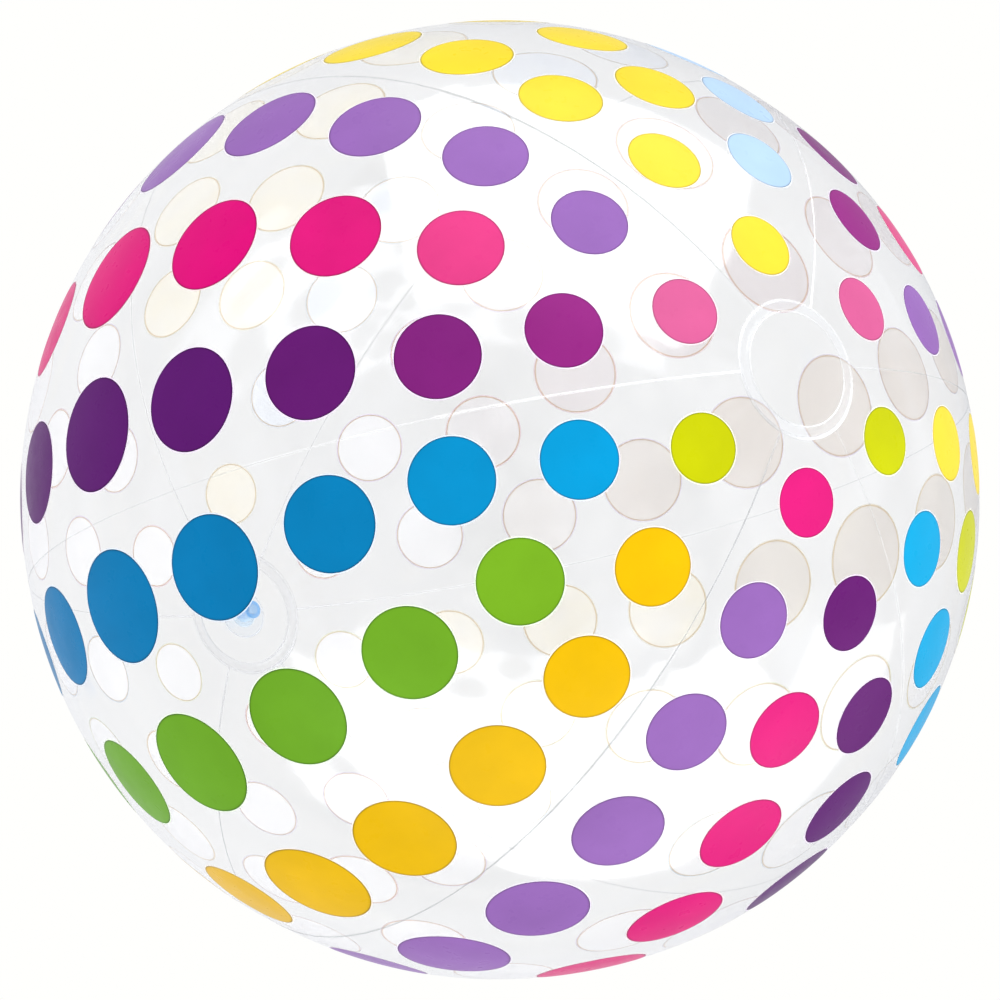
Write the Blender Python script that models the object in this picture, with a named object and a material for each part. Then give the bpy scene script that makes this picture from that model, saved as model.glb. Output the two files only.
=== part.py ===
"""An inflatable beach ball of clear film, with a push-in valve.

Six panels run from pole to pole and lap over each other along six welded seams. A round disc of film
covers the panels' tips at each pole. The disc at the bottom carries the valve, which is drawn here pushed
in, so that the closed plug lies level with the film.

Frame: the origin is the centre of the ball and +Z runs along its polar axis, away from the valve.
Lengths are in metres and angles in radians, except where a name says degrees.
"""

import math

import bmesh
import bpy
from mathutils import Vector

# Driving dimensions
RADIUS = 0.535  # outside of the panels' film
FILM = 0.0003  # thickness of every sheet of film
GAP = 0.0003  # left between pieces that are welded or pressed together
PANELS = 6
LAP = 0.005  # width of a seam, where one panel lies over the next
STEP = 0.002  # run of the step that lifts a panel's edge over its neighbour
TIP_RADIUS = 0.0625  # the panels are cut off this far from the pole
DISC_RADIUS = 0.075  # the discs cover the panels' tips out to here
PATCH_RADIUS = 0.030  # clear ring that strengthens the disc round the valve
VALVE_HOLE = 0.0115  # radius of the hole in the disc and in the patch

FLANGE_RADIUS = 0.017
FLANGE_HOLE = 0.0112
FLANGE_THICKNESS = 0.001
FLANGE_TOP = -0.0003  # heights on the valve are measured outwards from the panels' outer surface
WEB_RADIUS = 0.0109
WEB_THICKNESS = 0.0007
WEB_TOP = -0.0004
STEM_RADIUS = 0.007
BORE_RADIUS = 0.0045
STEM_TOP = -0.0017
STEM_FOOT = -0.022
COLLAR_THICKNESS = 0.0017  # ring at the stem's inner end, which the web is moulded to
PLUG_RADIUS = 0.0072
PLUG_HEAD = 0.002
PLUG_SHANK = 0.009
SHANK_TAPER = 0.0006  # the shank's end is this much narrower than its root
TAB_REACH = 0.0096
TAB_WIDTH = 0.005
TAB_THICKNESS = 0.001
STRAP_THICKNESS = 0.0008
STRAP_WIDTH = 0.002
STRAP_DROP = 0.0056  # from the strap's end on the plug down to its end on the stem
STRAP_START_DEGREES = 180
STRAP_END_DEGREES = 330
FLAP_RADIUS = 0.0062
FLAP_THICKNESS = 0.0008
FLAP_HINGE = 0.0075  # from the valve's axis to the line that the flap bends on
FLAP_TONGUE_WIDTH = 0.005

# How finely the round shapes are divided
PANEL_ROWS = 16  # between the edges of the two discs
PANEL_COLUMNS = 6  # between a panel's two seams
DISC_STEPS = 36
VALVE_STEPS = 24
STRAP_STEPS = 12

# Radii of the layers of film, from the inside out
PANEL_INSIDE = RADIUS - FILM
SEAM_LIFT = FILM + GAP
PATCH_INSIDE = RADIUS + GAP
DISC_INSIDE = RADIUS + SEAM_LIFT + GAP

CLEAR_FILM = (0.93, 0.95, 0.96, 0.25)
CLEAR_DISC = (0.95, 0.96, 0.97, 0.35)
CLEAR_PATCH = (0.90, 0.93, 0.95, 0.45)
PALE_BLUE = (0.42, 0.66, 0.88, 0.85)
LIGHT_BLUE = (0.60, 0.80, 0.95, 0.80)
SKY_BLUE = (0.33, 0.62, 0.90, 0.90)


def clear_scene():
    for thing in list(bpy.data.objects):
        bpy.data.objects.remove(thing, do_unlink=True)


def plastic(name, colour, roughness=0.12):
    """A soft clear or tinted plastic, with the colour's fourth number as its alpha."""
    material = bpy.data.materials.new(name)
    material.use_nodes = True
    shader = material.node_tree.nodes["Principled BSDF"]
    shader.inputs["Base Color"].default_value = (*colour[:3], 1)
    shader.inputs["Alpha"].default_value = colour[3]
    shader.inputs["Roughness"].default_value = roughness
    shader.inputs["Metallic"].default_value = 0
    return material


def add_object(name, mesh_data, material, parent=None):
    """Turns a bmesh into a named, smooth-shaded object with its faces pointing out."""
    bmesh.ops.recalc_face_normals(mesh_data, faces=mesh_data.faces)
    mesh = bpy.data.meshes.new(name)
    mesh_data.to_mesh(mesh)
    mesh_data.free()
    mesh.shade_smooth()
    mesh.set_sharp_from_angle(angle=math.radians(35))
    if material is not None:
        mesh.materials.append(material)
    thing = bpy.data.objects.new(name, mesh)
    bpy.context.collection.objects.link(thing)
    thing.parent = parent
    return thing


def on_sphere(radius, tilt, turn):
    """The point at an angle tilt from +Z and an angle turn round it."""
    ring = radius * math.sin(tilt)
    return Vector((ring * math.cos(turn), ring * math.sin(turn), radius * math.cos(tilt)))


def bridge(mesh_data, first, second, closed):
    """Joins two rows of points, or a row and a single point, with a band of faces."""
    count = max(len(first), len(second))
    for i in range(count if closed else count - 1):
        j = (i + 1) % count
        corners = [first[i % len(first)], first[j % len(first)]]
        corners += [second[j % len(second)], second[i % len(second)]]
        mesh_data.faces.new(list(dict.fromkeys(corners)))


def sheet(outer_rows, inner_rows, closed):
    """A closed sheet between an outer and an inner grid of points with the same layout.

    A closed grid runs all the way round, and then a row of one point is a pole.
    """
    mesh_data = bmesh.new()
    outer = [[mesh_data.verts.new(p) for p in row] for row in outer_rows]
    inner = [[mesh_data.verts.new(p) for p in row] for row in inner_rows]
    for grid in (outer, inner):
        for upper, lower in zip(grid, grid[1:]):
            bridge(mesh_data, upper, lower, closed)
    for edge in (0, -1):
        if len(outer[edge]) > 1:
            bridge(mesh_data, outer[edge], inner[edge], closed)
    if not closed:
        for edge in (0, -1):
            bridge(mesh_data, [row[edge] for row in outer], [row[edge] for row in inner], False)
    return mesh_data


def turned(profile, steps):
    """A solid turned about Z from a closed profile of (radius, height) points.

    A point on the axis closes the solid there.
    """
    mesh_data = bmesh.new()
    rings = []
    for radius, height in profile:
        turns = [2 * math.pi * i / steps for i in range(steps)] if radius > 0 else [0]
        ring = [Vector((radius * math.cos(t), radius * math.sin(t), height)) for t in turns]
        rings.append([mesh_data.verts.new(p) for p in ring])
    for ring, following in zip(rings, rings[1:] + rings[:1]):
        if len(ring) > 1 or len(following) > 1:
            bridge(mesh_data, ring, following, closed=True)
    return mesh_data


def extruded(outline, bottom, top):
    """A flat-sided solid from an outline of (x, y) points."""
    mesh_data = bmesh.new()
    low = [mesh_data.verts.new((x, y, bottom)) for x, y in outline]
    high = [mesh_data.verts.new((x, y, top)) for x, y in outline]
    bridge(mesh_data, low, high, closed=True)
    mesh_data.faces.new(low)
    mesh_data.faces.new(high)
    return mesh_data


def panel_tilts():
    """The rows of a panel from tip to tip, with a row under the edge of each disc."""
    tip = TIP_RADIUS / RADIUS
    edge = DISC_RADIUS / RADIUS
    rows = [edge + (math.pi - 2 * edge) * i / PANEL_ROWS for i in range(PANEL_ROWS + 1)]
    return [tip, *rows, math.pi - tip]


def panel_columns(tilt):
    """The (turn, lift) of each column of a panel in one row.

    One edge lies under the neighbour. The other edge steps up and lies over the next one.
    """
    ring = RADIUS * math.sin(tilt)
    half_lap = LAP / 2 / ring
    seam = math.pi / PANELS
    first = -seam + half_lap
    last = seam - half_lap - (STEP + GAP) / ring
    spread = [first + (last - first) * i / PANEL_COLUMNS for i in range(PANEL_COLUMNS + 1)]
    under = [(-seam - half_lap, 0)]
    level = [(turn, 0) for turn in spread]
    over = [(seam - half_lap - GAP / ring, SEAM_LIFT), (seam + half_lap, SEAM_LIFT)]
    return under + level + over


def make_panel(number):
    middle = 2 * math.pi * (number - 1) / PANELS
    outer, inner = [], []
    for tilt in panel_tilts():
        columns = panel_columns(tilt)
        outer.append([on_sphere(RADIUS + lift, tilt, middle + turn) for turn, lift in columns])
        inner.append([on_sphere(PANEL_INSIDE + lift, tilt, middle + turn) for turn, lift in columns])
    name = f"panel_{number}"
    add_object(name, sheet(outer, inner, closed=False), plastic(name, CLEAR_FILM))


def round_film(radii, inside):
    """A round sheet of film over the +Z pole, through rings of the given radii."""
    grids = []
    for radius in (inside + FILM, inside):
        rows = []
        for ring in radii:
            turns = [2 * math.pi * i / DISC_STEPS for i in range(DISC_STEPS)] if ring > 0 else [0]
            rows.append([on_sphere(radius, ring / RADIUS, turn) for turn in turns])
        grids.append(rows)
    return sheet(*grids, closed=True)


def make_plain_disc():
    radii = [0, PATCH_RADIUS, (PATCH_RADIUS + TIP_RADIUS) / 2, TIP_RADIUS, DISC_RADIUS]
    film = round_film(radii, DISC_INSIDE)
    add_object("end_disc_plain", film, plastic("end_disc_plain", CLEAR_DISC))


def upside_down(mesh_data):
    """Turns a mesh half a turn about X, which carries the +Z pole to the -Z pole."""
    for vertex in mesh_data.verts:
        vertex.co.y *= -1
        vertex.co.z *= -1
    return mesh_data


def make_valve_disc():
    radii = [VALVE_HOLE, PATCH_RADIUS, (PATCH_RADIUS + TIP_RADIUS) / 2, TIP_RADIUS, DISC_RADIUS]
    film = upside_down(round_film(radii, DISC_INSIDE))
    add_object("end_disc_valve", film, plastic("end_disc_valve", CLEAR_DISC))


def make_valve_patch():
    film = upside_down(round_film([VALVE_HOLE, PATCH_RADIUS], PATCH_INSIDE))
    add_object("valve_patch", film, plastic("valve_patch", CLEAR_PATCH))


def make_valve_seat():
    """An empty on the ball's surface at the bottom pole, with its Z axis pointing out of the ball."""
    seat = bpy.data.objects.new("valve_seat", None)
    seat.location = (0, 0, -RADIUS)
    seat.rotation_euler = (math.pi, 0, 0)
    bpy.context.collection.objects.link(seat)
    return seat


def make_flange(seat):
    """The flat ring that is welded to the inside of the patch."""
    bottom = FLANGE_TOP - FLANGE_THICKNESS
    profile = [
        (FLANGE_HOLE, FLANGE_TOP),
        (FLANGE_RADIUS, FLANGE_TOP),
        (FLANGE_RADIUS, bottom),
        (FLANGE_HOLE, bottom),
    ]
    add_object("valve_flange", turned(profile, VALVE_STEPS), plastic("valve_flange", LIGHT_BLUE), seat)


def make_web(seat):
    """The thin sleeve that folds as the stem is pushed in, from the flange to the stem's collar."""
    foot = STEM_FOOT + COLLAR_THICKNESS + GAP
    inside = WEB_RADIUS - WEB_THICKNESS
    profile = [(inside, WEB_TOP), (WEB_RADIUS, WEB_TOP), (WEB_RADIUS, foot), (inside, foot)]
    add_object("valve_web", turned(profile, VALVE_STEPS), plastic("valve_web", LIGHT_BLUE), seat)


def make_stem(seat):
    """The tube that air goes through, with a collar at its inner end."""
    collar = STEM_FOOT + COLLAR_THICKNESS
    profile = [
        (BORE_RADIUS, STEM_TOP),
        (STEM_RADIUS, STEM_TOP),
        (STEM_RADIUS, collar),
        (WEB_RADIUS, collar),
        (WEB_RADIUS, STEM_FOOT),
        (BORE_RADIUS, STEM_FOOT),
    ]
    add_object("valve_stem", turned(profile, VALVE_STEPS), plastic("valve_stem", PALE_BLUE), seat)


def make_tab_outline():
    half = TAB_WIDTH / 2
    root = STEM_RADIUS - 2 * GAP
    return [(root, -half), (TAB_REACH, -half), (TAB_REACH, half), (root, half)]


def make_plug(seat):
    """The stopper, with a flat head, a tapered shank and a tab to lift it by."""
    root = STEM_TOP + GAP
    head = root + PLUG_HEAD
    end = root - PLUG_SHANK
    shank = BORE_RADIUS - GAP
    profile = [
        (0, head),
        (PLUG_RADIUS, head),
        (PLUG_RADIUS, root),
        (shank, root),
        (shank - SHANK_TAPER, end),
        (0, end),
    ]
    plug = add_object("valve_plug", turned(profile, VALVE_STEPS), plastic("valve_plug", SKY_BLUE), seat)
    tab = add_object("tab_shape", extruded(make_tab_outline(), head - TAB_THICKNESS, head - GAP), None, seat)
    tab.hide_render = True
    tab.display_type = "WIRE"
    join = plug.modifiers.new("lift_tab", "BOOLEAN")
    join.operation = "UNION"
    join.object = tab


def make_strap(seat):
    """The band that ties the plug to the stem, wound round the stem while the plug is in."""
    inside = PLUG_RADIUS + GAP
    radii = (inside, inside + STRAP_THICKNESS)
    top = STEM_TOP + GAP + PLUG_HEAD / 2
    mesh_data = bmesh.new()
    sections = []
    for i in range(STRAP_STEPS + 1):
        share = i / STRAP_STEPS
        sweep = STRAP_END_DEGREES - STRAP_START_DEGREES
        turn = math.radians(STRAP_START_DEGREES + sweep * share)
        middle = top - STRAP_DROP * share
        low, high = middle - STRAP_WIDTH / 2, middle + STRAP_WIDTH / 2
        corners = [(radii[0], low), (radii[1], low), (radii[1], high), (radii[0], high)]
        points = [(r * math.cos(turn), r * math.sin(turn), z) for r, z in corners]
        sections.append([mesh_data.verts.new(p) for p in points])
    for section, following in zip(sections, sections[1:]):
        bridge(mesh_data, section, following, closed=True)
    mesh_data.faces.new(sections[0])
    mesh_data.faces.new(sections[-1])
    add_object("plug_strap", mesh_data, plastic("plug_strap", PALE_BLUE), seat)


def flap_outline():
    """A disc over the stem's bore with a tongue out to the hinge line, measured from that line."""
    half = FLAP_TONGUE_WIDTH / 2
    start = math.asin(half / FLAP_RADIUS)
    sweep = 2 * (math.pi - start)
    turns = [start + sweep * i / VALVE_STEPS for i in range(VALVE_STEPS + 1)]
    disc = [(FLAP_RADIUS * math.cos(t), FLAP_RADIUS * math.sin(t)) for t in turns]
    outline = [*disc, (FLAP_HINGE, -half), (FLAP_HINGE, half)]
    return [(x - FLAP_HINGE, y) for x, y in outline]


def make_flap(seat):
    """The non-return flap over the stem's inner end. Its origin is on the line that it bends on."""
    half = FLAP_THICKNESS / 2
    flap = add_object(
        "check_flap", extruded(flap_outline(), -half, half), plastic("check_flap", LIGHT_BLUE), seat
    )
    flap.location = (FLAP_HINGE, 0, STEM_FOOT - GAP - half)


def make_ball():
    clear_scene()
    for number in range(1, PANELS + 1):
        make_panel(number)
    make_plain_disc()
    make_valve_disc()
    make_valve_patch()
    seat = make_valve_seat()
    make_flange(seat)
    make_web(seat)
    make_stem(seat)
    make_plug(seat)
    make_strap(seat)
    make_flap(seat)


make_ball()
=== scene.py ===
"""The looks of a clear inflatable beach ball with printed dots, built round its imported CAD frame.

The CAD film, discs and valve pieces are replaced by finer ones at the same places. The ball's centre is the
origin and +Z is its polar axis, away from the valve. Lengths are in metres.
"""

import math

import bmesh
import bpy
import numpy as np
from mathutils import Matrix, Vector


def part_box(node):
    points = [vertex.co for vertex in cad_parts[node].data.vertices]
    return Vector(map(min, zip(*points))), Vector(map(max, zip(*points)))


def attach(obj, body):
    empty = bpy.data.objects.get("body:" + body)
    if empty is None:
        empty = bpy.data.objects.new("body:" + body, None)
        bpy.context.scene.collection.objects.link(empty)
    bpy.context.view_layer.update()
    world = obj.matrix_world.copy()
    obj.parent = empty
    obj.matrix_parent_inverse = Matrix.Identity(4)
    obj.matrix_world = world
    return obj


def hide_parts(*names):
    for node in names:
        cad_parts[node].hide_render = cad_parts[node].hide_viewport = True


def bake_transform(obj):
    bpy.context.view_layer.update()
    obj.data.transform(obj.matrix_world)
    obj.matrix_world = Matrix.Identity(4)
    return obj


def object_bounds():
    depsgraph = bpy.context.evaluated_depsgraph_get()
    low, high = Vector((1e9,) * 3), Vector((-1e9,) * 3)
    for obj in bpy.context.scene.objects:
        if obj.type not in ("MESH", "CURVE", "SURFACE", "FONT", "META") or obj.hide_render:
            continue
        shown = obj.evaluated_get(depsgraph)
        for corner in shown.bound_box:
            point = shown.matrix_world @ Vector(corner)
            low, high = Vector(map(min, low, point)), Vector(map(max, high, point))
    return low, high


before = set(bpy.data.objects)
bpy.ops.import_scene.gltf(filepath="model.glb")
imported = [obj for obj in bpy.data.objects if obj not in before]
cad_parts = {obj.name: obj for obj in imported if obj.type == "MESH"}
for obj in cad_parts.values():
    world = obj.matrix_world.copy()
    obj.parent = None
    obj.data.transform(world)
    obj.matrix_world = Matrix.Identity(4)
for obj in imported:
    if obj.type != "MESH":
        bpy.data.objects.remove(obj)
cad_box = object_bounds()

# --- Driving dimensions ---

FILM = 0.0003
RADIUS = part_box("end_disc_plain")[1].z - 4 * FILM  # outside of the panels' film
PANELS = 6
HALF_PANEL = math.pi / PANELS  # from a panel's middle to its seams, as an angle round the polar axis
DISC_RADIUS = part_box("end_disc_plain")[1].x
TIP_RADIUS = DISC_RADIUS - 0.0125  # the panels are cut off this far from the pole
PATCH_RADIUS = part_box("valve_patch")[1].x
VALVE_HOLE = 0.0115
FLANGE_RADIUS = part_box("valve_flange")[1].x
PATCH_TOP = -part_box("valve_patch")[0].z - RADIUS  # its outer skin's height over the panels' film

# The printed pattern: rows of dots from one pole to the equator, then the same rows to the other pole
ROW_TILTS = (15.1, 28.1, 41.7, 56.4, 72.6, 90.0)  # degrees from the pole, along the panel's middle
ROW_COUNTS = (1, 2, 3, 3, 3, 3)
DOT_AT_POLE = 3.35  # angular radius in degrees that the dots would have at the pole
DOT_GROWTH = 3.25  # and how much wider they are at the equator
# Degrees that each panel's print has slipped away from the plain disc and sideways, at its row nearest to it
PRINT_SLIP = ((1.25, 0.0), (0.0, -1.0), (0.0, -1.0), (0.0, -0.3), (0.0, 0.0), (0.0, 0.0))
SLIPPED_ROWS = (15.0, 42.0)  # degrees from the plain pole where the slip is full, and where it is gone
# Degrees that its further rows have crept towards that disc in the panel's middle, and how much more they
# have on its far side going round +Z
PRINT_CREEP = ((0.0, 0.0), (0.0, 0.0), (0.0, 0.0), (0.0, 0.0), (0.5, 0.0), (0.7, 0.75))
# Each panel's colours: the column on its far side going round +Z, the middle one, the near side, the tips
PANEL_COLOURS = (
    ("gold", "green", "blue", "lime"),
    ("purple", "magenta", "lavender", "magenta"),
    ("yellow", "lime", "sky", "lime"),
    ("purple", "magenta", "lavender", "pink"),
    ("yellow", "yellow", "pale_blue", "yellow"),
    ("purple", "magenta", "lavender", "pink"),
)
# Each ink at full strength, and lighter as it is on the rows by the plain disc
INK = {
    "gold": ((0.61, 0.365, 0.0), (0.66, 0.39, 0.0)),
    "yellow": ((0.68, 0.52, 0.012), (0.68, 0.53, 0.03)),
    "lime": ((0.43, 0.455, 0.0), (0.43, 0.455, 0.0)),
    "green": ((0.115, 0.295, 0.014), (0.165, 0.36, 0.010)),
    "blue": ((0.0, 0.145, 0.34), (0.0, 0.25, 0.51)),
    "sky": ((0.0, 0.29, 0.54), (0.0, 0.29, 0.54)),
    "pale_blue": ((0.35, 0.50, 0.69), (0.35, 0.50, 0.69)),
    "lavender": ((0.225, 0.10, 0.345), (0.225, 0.10, 0.345)),
    "purple": ((0.078, 0.006, 0.115), (0.22, 0.014, 0.165)),
    "magenta": ((0.54, 0.0, 0.142), (0.58, 0.055, 0.20)),
    "pink": ((0.51, 0.078, 0.23), (0.51, 0.085, 0.23)),
}
LIGHTENED_ROWS = (28.0, 60.0)  # degrees from the plain pole where the ink is lightest, and at full strength
LIGHTENED_PANELS = (1.0, 0.15, 1.0, 1.0, 1.0, 1.0)  # how much lighter each panel's ink is there
# The white coat under the ink has a warm grey painted shade on the plain half of two panels: the columns
# that it shows on, and the degrees from the plain pole where the painted shade starts to fade and where it
# is gone
SHADED_COAT_PANELS = {3: (("yellow",), 105.0, 122.0), 4: (("lavender", "magenta", "purple"), 118.0, 150.0)}
HALO = 0.0013  # width of the clear varnish left round each dot
OUTLINE_TAN = (0.67, 0.51, 0.32)

# The film's relief over the true sphere
SEAM_PULL = 0.0009  # the film is drawn in this far at a seam
SEAM_REACH = 0.030
PUCKER = 0.00022  # height of the fine gathers beside a seam
PUCKER_LENGTH = 0.034
PUCKER_REACH = 0.022
DISC_PUCKER = 0.0003  # height of the gathers round an end disc
DISC_PUCKERS = 26
DISC_PUCKER_REACH = 0.030
SWELL = 0.0005  # height of the broad unevenness
SWELL_WAVES = 14

# Seam welds
WELD_WIDTH = 0.0009
WELD_WIDTH_AT_DISC = 0.0028
WELD_HEIGHT = 0.0004
WELD_STEPS = 7  # points over a weld's round top
WELD_FOOT = -0.00005  # a seam's weld starts this far under the film's outer skin
SEAM_GAP = 0.0008  # between a seam's end and the disc's rim
WIDE_LENGTH = 0.12  # along a seam from a disc, over which it narrows
UNSHADED_LENGTH = 0.06  # and over which it turns grey with its painted shade
WELD_HIGHLIGHT = (0.05, 0.0, 0.05, 1.0, 0.0, 1.0)  # painted highlight: how white each seam is at its end by the plain disc
HIGHLIGHT_LENGTH = 0.16
VALVE_END_WHITENING = 0.2
VALVE_END_LENGTH = 0.1
WELD_SHADE = (0.75, 0.05, 0.2, 0.15, 0.25, 0.2)  # painted shade: how grey each seam is along its length
# Round welds have a painted highlight on one side and painted shade on another, as turns round +Z
RING_HIGHLIGHT_SIDE = math.radians(93)
RING_SHADE_SIDE = math.radians(13)
PRESSED_MILK = 0.06  # how milky a disc's film is between its two welds

# Fineness
PANEL_ROWS = 280
PANEL_COLUMNS = 60
SEAM_ROWS = 500
DOT_STEPS = 80
RING_STEPS = 144


# --- Mesh helpers ---


def grid_faces(rows, columns, closed, start=0, flip=False):
    """Quads over a grid of points numbered row by row, closed or not round its columns."""
    across = columns if closed else columns - 1
    row = np.repeat(np.arange(rows - 1), across)
    column = np.tile(np.arange(across), rows - 1)
    following = (column + 1) % columns
    corners = [
        row * columns + column,
        row * columns + following,
        (row + 1) * columns + following,
        (row + 1) * columns + column,
    ]
    faces = np.stack(corners, axis=1) + start
    return faces[:, ::-1] if flip else faces


def make_object(name, points, faces, materials, material_index=None):
    """A smooth-shaded object from points and faces."""
    mesh = bpy.data.meshes.new(name)
    mesh.from_pydata(np.asarray(points).tolist(), [], [list(map(int, face)) for face in faces])
    for material in materials:
        mesh.materials.append(material)
    if material_index is not None:
        mesh.polygons.foreach_set("material_index", np.asarray(material_index, np.int32))
    mesh.shade_smooth()
    mesh.update()
    thing = bpy.data.objects.new(name, mesh)
    bpy.context.scene.collection.objects.link(thing)
    return thing


def point_values(thing, name, values):
    """Stores one number for each of the mesh's points, for a material to read."""
    attribute = thing.data.attributes.new(name, "FLOAT", "POINT")
    attribute.data.foreach_set("value", np.asarray(values, np.float32))


def tidy_normals(thing):
    """Points the faces of a closed mesh outwards."""
    mesh_data = bmesh.new()
    mesh_data.from_mesh(thing.data)
    bmesh.ops.recalc_face_normals(mesh_data, faces=mesh_data.faces)
    mesh_data.to_mesh(thing.data)
    mesh_data.free()


def on_body(thing, body, slot_name, *cad_nodes):
    """Makes a piece ride on a body, and hides the CAD nodes that it stands for. slot_name is not used."""
    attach(thing, body)
    if cad_nodes:
        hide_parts(*cad_nodes)
    return thing


# --- The film's surface ---

random_draws = np.random.RandomState(7)
SWELL_AXES = random_draws.normal(size=(SWELL_WAVES, 3)) * 5.0
SWELL_PHASES = random_draws.uniform(0, 2 * math.pi, SWELL_WAVES)


def directions(tilt, turn):
    """Unit vectors at an angle tilt from +Z and an angle turn round it."""
    ring = np.sin(tilt)
    return np.stack([ring * np.cos(turn), ring * np.sin(turn), np.cos(tilt) + 0 * turn], axis=-1)


def round_turns(count=RING_STEPS):
    """Evenly spaced angles all the way round."""
    return np.linspace(0, 2 * math.pi, count, endpoint=False)


def round_pole(radii, pole):
    """A grid of unit vectors towards rings of those radii round a pole, +1 or -1."""
    towards = directions((radii / RADIUS)[:, None], round_turns()[None, :])
    towards[..., 2] *= pole
    return towards


def film_relief(towards):
    """How far the inflated film stands off the true sphere, along unit vectors from the centre."""
    tilt = np.arccos(np.clip(towards[..., 2], -1, 1))
    turn = np.arctan2(towards[..., 1], towards[..., 0])
    from_seam = np.abs((turn % (2 * HALF_PANEL)) - HALF_PANEL)
    beside = RADIUS * np.sin(tilt) * from_seam
    from_pole = RADIUS * np.minimum(tilt, math.pi - tilt)
    clear_of_disc = np.clip((from_pole - DISC_RADIUS) / 0.03, 0, 1)

    along = RADIUS * tilt
    uneven = 0.6 + 0.4 * np.sin(along / 0.047 + 2 * turn)
    waves = np.cos(2 * math.pi * along / PUCKER_LENGTH + 1.3 * np.sin(along / 0.11 + turn))
    relief = -SEAM_PULL * np.exp(-beside / SEAM_REACH) * clear_of_disc
    relief += PUCKER * uneven * waves * np.exp(-beside / PUCKER_REACH) * clear_of_disc

    gathers = np.cos(DISC_PUCKERS * turn + 1.7 * np.sin(3 * turn))
    fade = np.exp(-np.maximum(from_pole - DISC_RADIUS, 0) / DISC_PUCKER_REACH)
    relief += DISC_PUCKER * gathers * fade * np.clip((from_pole - DISC_RADIUS) / 0.012, 0, 1)

    phases = towards @ SWELL_AXES.T + SWELL_PHASES
    relief += SWELL * np.cos(phases).sum(axis=-1) / math.sqrt(SWELL_WAVES) * clear_of_disc
    return relief


def on_film(towards, lift):
    """Points at a height over the film's outer surface."""
    return towards * (RADIUS + film_relief(towards) + lift)[..., None]


# --- Materials ---


class Shader:
    """A short way to add and link the nodes of one material."""

    def __init__(self, name):
        self.material = bpy.data.materials.new(name)
        self.material.use_nodes = True
        self.tree = self.material.node_tree
        self.tree.nodes.clear()
        self.output = self.tree.nodes.new("ShaderNodeOutputMaterial")

    def node(self, kind, operation=None, **inputs):
        """Adds a node. Each input is a plain value, or the output of another node."""
        made = self.tree.nodes.new(kind)
        if operation:
            made.operation = operation
        for name, value in inputs.items():
            self.put(made, name.replace("_", " "), value)
        return made

    def put(self, made, socket, value):
        target = made.inputs[int(socket[6:])] if socket.startswith("input ") else made.inputs[socket]
        if isinstance(value, bpy.types.NodeSocket):
            self.tree.links.new(value, target)
        else:
            target.default_value = value

    def maths(self, operation, first, second=0.0):
        return self.node("ShaderNodeMath", operation, input_0=first, input_1=second).outputs[0]

    def place(self, kind="Object"):
        return self.node("ShaderNodeTexCoord").outputs[kind]

    def noise(self, scale, detail=3.0, place=None):
        made = self.node("ShaderNodeTexNoise", Vector=place or self.place(), Scale=scale, Detail=detail)
        return made.outputs["Fac"]

    def ranged(self, value, start, end, low=0.0, high=1.0):
        """Maps a value that runs from start to end onto low to high."""
        made = self.node("ShaderNodeMapRange", Value=value)
        for socket, number in (("From Min", start), ("From Max", end), ("To Min", low), ("To Max", high)):
            made.inputs[socket].default_value = number
        return made.outputs["Result"]

    def spread(self, value, low, high):
        """Maps a value that runs from 0.3 to 0.7, as noise mostly does, onto low to high."""
        return self.ranged(value, 0.3, 0.7, low, high)

    def vector_maths(self, operation, output, **inputs):
        return self.node("ShaderNodeVectorMath", operation, **inputs).outputs[output]

    def blend_colours(self, factor, first, second):
        made = self.node("ShaderNodeMix")
        made.data_type = "RGBA"
        self.put(made, "Factor", factor)
        targets = [socket for socket in made.inputs if socket.type == "RGBA"]
        for target, value in zip(targets, (first, second)):
            if isinstance(value, bpy.types.NodeSocket):
                self.tree.links.new(value, target)
            else:
                target.default_value = (*value, 1)
        return next(socket for socket in made.outputs if socket.type == "RGBA")

    def bump(self, height, distance):
        return self.node("ShaderNodeBump", Height=height, Distance=distance).outputs["Normal"]

    def mixed(self, factor, first, second):
        return self.node("ShaderNodeMixShader", input_0=factor, input_1=first, input_2=second).outputs[0]

    def mirror_share(self, head_on, edge_on=0.3):
        """How much a clear surface mirrors: head_on straight on, rising by edge_on at a grazing angle."""
        facing = self.node("ShaderNodeLayerWeight", Blend=0.5).outputs["Facing"]
        grazing = self.maths("POWER", facing, 5.0)
        return self.maths("ADD", self.maths("MULTIPLY", grazing, edge_on), head_on)

    def attribute(self, name):
        made = self.node("ShaderNodeAttribute")
        made.attribute_name = name
        return made.outputs["Fac"]

    def diffuse(self, colour):
        return self.node("ShaderNodeBsdfDiffuse", Color=(*colour, 1)).outputs[0]

    def transparent(self, colour):
        return self.node("ShaderNodeBsdfTransparent", Color=(*colour, 1)).outputs[0]

    def principled(self, colour, least_rough, most_rough, grain=60.0, ior=1.45):
        """A solid surface whose roughness varies finely. Returns the node, for more to be set on it."""
        made = self.node("ShaderNodeBsdfPrincipled", Base_Color=colour)
        made.inputs["IOR"].default_value = ior
        self.put(made, "Roughness", self.spread(self.noise(grain), least_rough, most_rough))
        return made

    def glow(self, mirrored):
        """The studio's white, as it is seen and as it lights the ball, with what the gloss mirrors of it."""
        path = self.node("ShaderNodeLightPath")
        seen = self.blend_colours(path.outputs["Is Camera Ray"], SOFT_LIGHT, SEEN_WHITE)
        return self.blend_colours(path.outputs["Is Glossy Ray"], seen, mirrored)

    def finish(self, surface):
        self.tree.links.new(surface, self.output.inputs["Surface"])
        return self.material


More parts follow.
